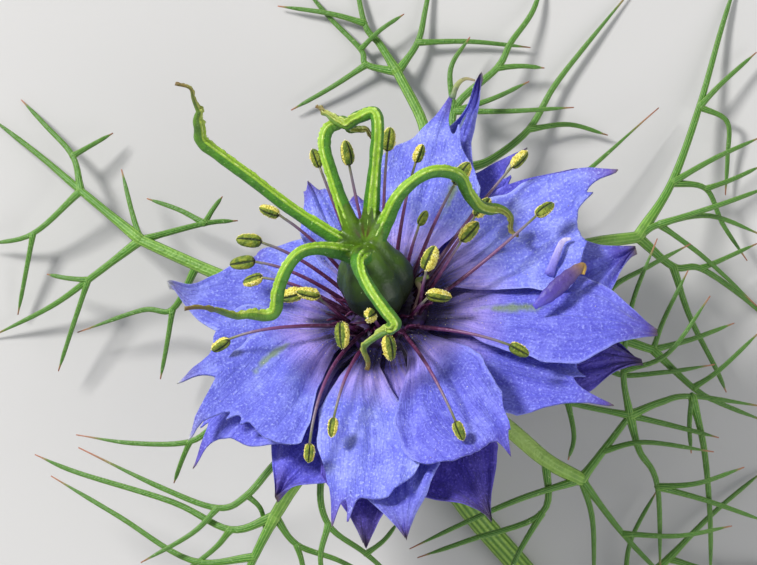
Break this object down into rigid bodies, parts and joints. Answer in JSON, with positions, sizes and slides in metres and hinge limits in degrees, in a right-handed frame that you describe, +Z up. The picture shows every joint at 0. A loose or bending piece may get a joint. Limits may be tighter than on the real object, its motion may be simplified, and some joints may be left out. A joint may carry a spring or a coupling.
{
  "type": "nigella flower with seed pod",
  "caption": "Picked love-in-a-mist flower lying on its side: pointed blue petals around a green seed pod with long curled styles, stamens, feathery bracts and a cut stem.",
  "frame": {"origin": "middle of the bounding box's underside, on the surface that the flower lies on", "axes": "+Z up from the surface, +Y from the cut end of the stem towards the flower, +X to the right of that"},
  "size_m": [0.1016, 0.1248, 0.0351],
  "materials": {
    "petal": "velvety petal",
    "pod": "satin, waxy",
    "stamen": "matte, grainy",
    "bract": "satin",
    "stem": "satin, ribbed"
  },
  "bodies": {
    "root": {"stem": "stem", "seed_pod": "pod", "petal_01": "petal", "petal_02": "petal", "petal_03": "petal", "petal_04": "petal", "petal_05": "petal", "petal_06": "petal", "petal_07": "petal", "petal_08": "petal", "petal_09": "petal", "petal_10": "petal", "petal_11": "petal", "petal_12": "petal", "petal_13": "petal", "petal_14": "petal", "petal_15": "petal", "petal_16": "petal", "petal_17": "petal", "petal_18": "petal", "petal_19": "petal", "petal_20": "petal", "petal_21": "petal", "petal_22": "petal", "stamen_01": "stamen", "stamen_02": "stamen", "stamen_03": "stamen", "stamen_04": "stamen", "stamen_05": "stamen", "stamen_06": "stamen", "stamen_07": "stamen", "stamen_08": "stamen", "stamen_09": "stamen", "stamen_10": "stamen", "stamen_11": "stamen", "stamen_12": "stamen", "stamen_13": "stamen", "stamen_14": "stamen", "stamen_15": "stamen", "stamen_16": "stamen", "stamen_17": "stamen", "stamen_18": "stamen", "stamen_19": "stamen", "stamen_20": "stamen", "stamen_21": "stamen", "stamen_22": "stamen", "stamen_23": "stamen", "stamen_24": "stamen", "stamen_25": "stamen", "stamen_26": "stamen", "bract_left": "bract", "bract_back": "bract", "bract_fan": "bract", "bract_right": "bract", "bract_side": "bract", "bract_front_right": "bract", "bract_front_left": "bract", "stem_leaf_upper": "bract", "stem_leaf_lower": "bract"}
  },
  "joints": []
}
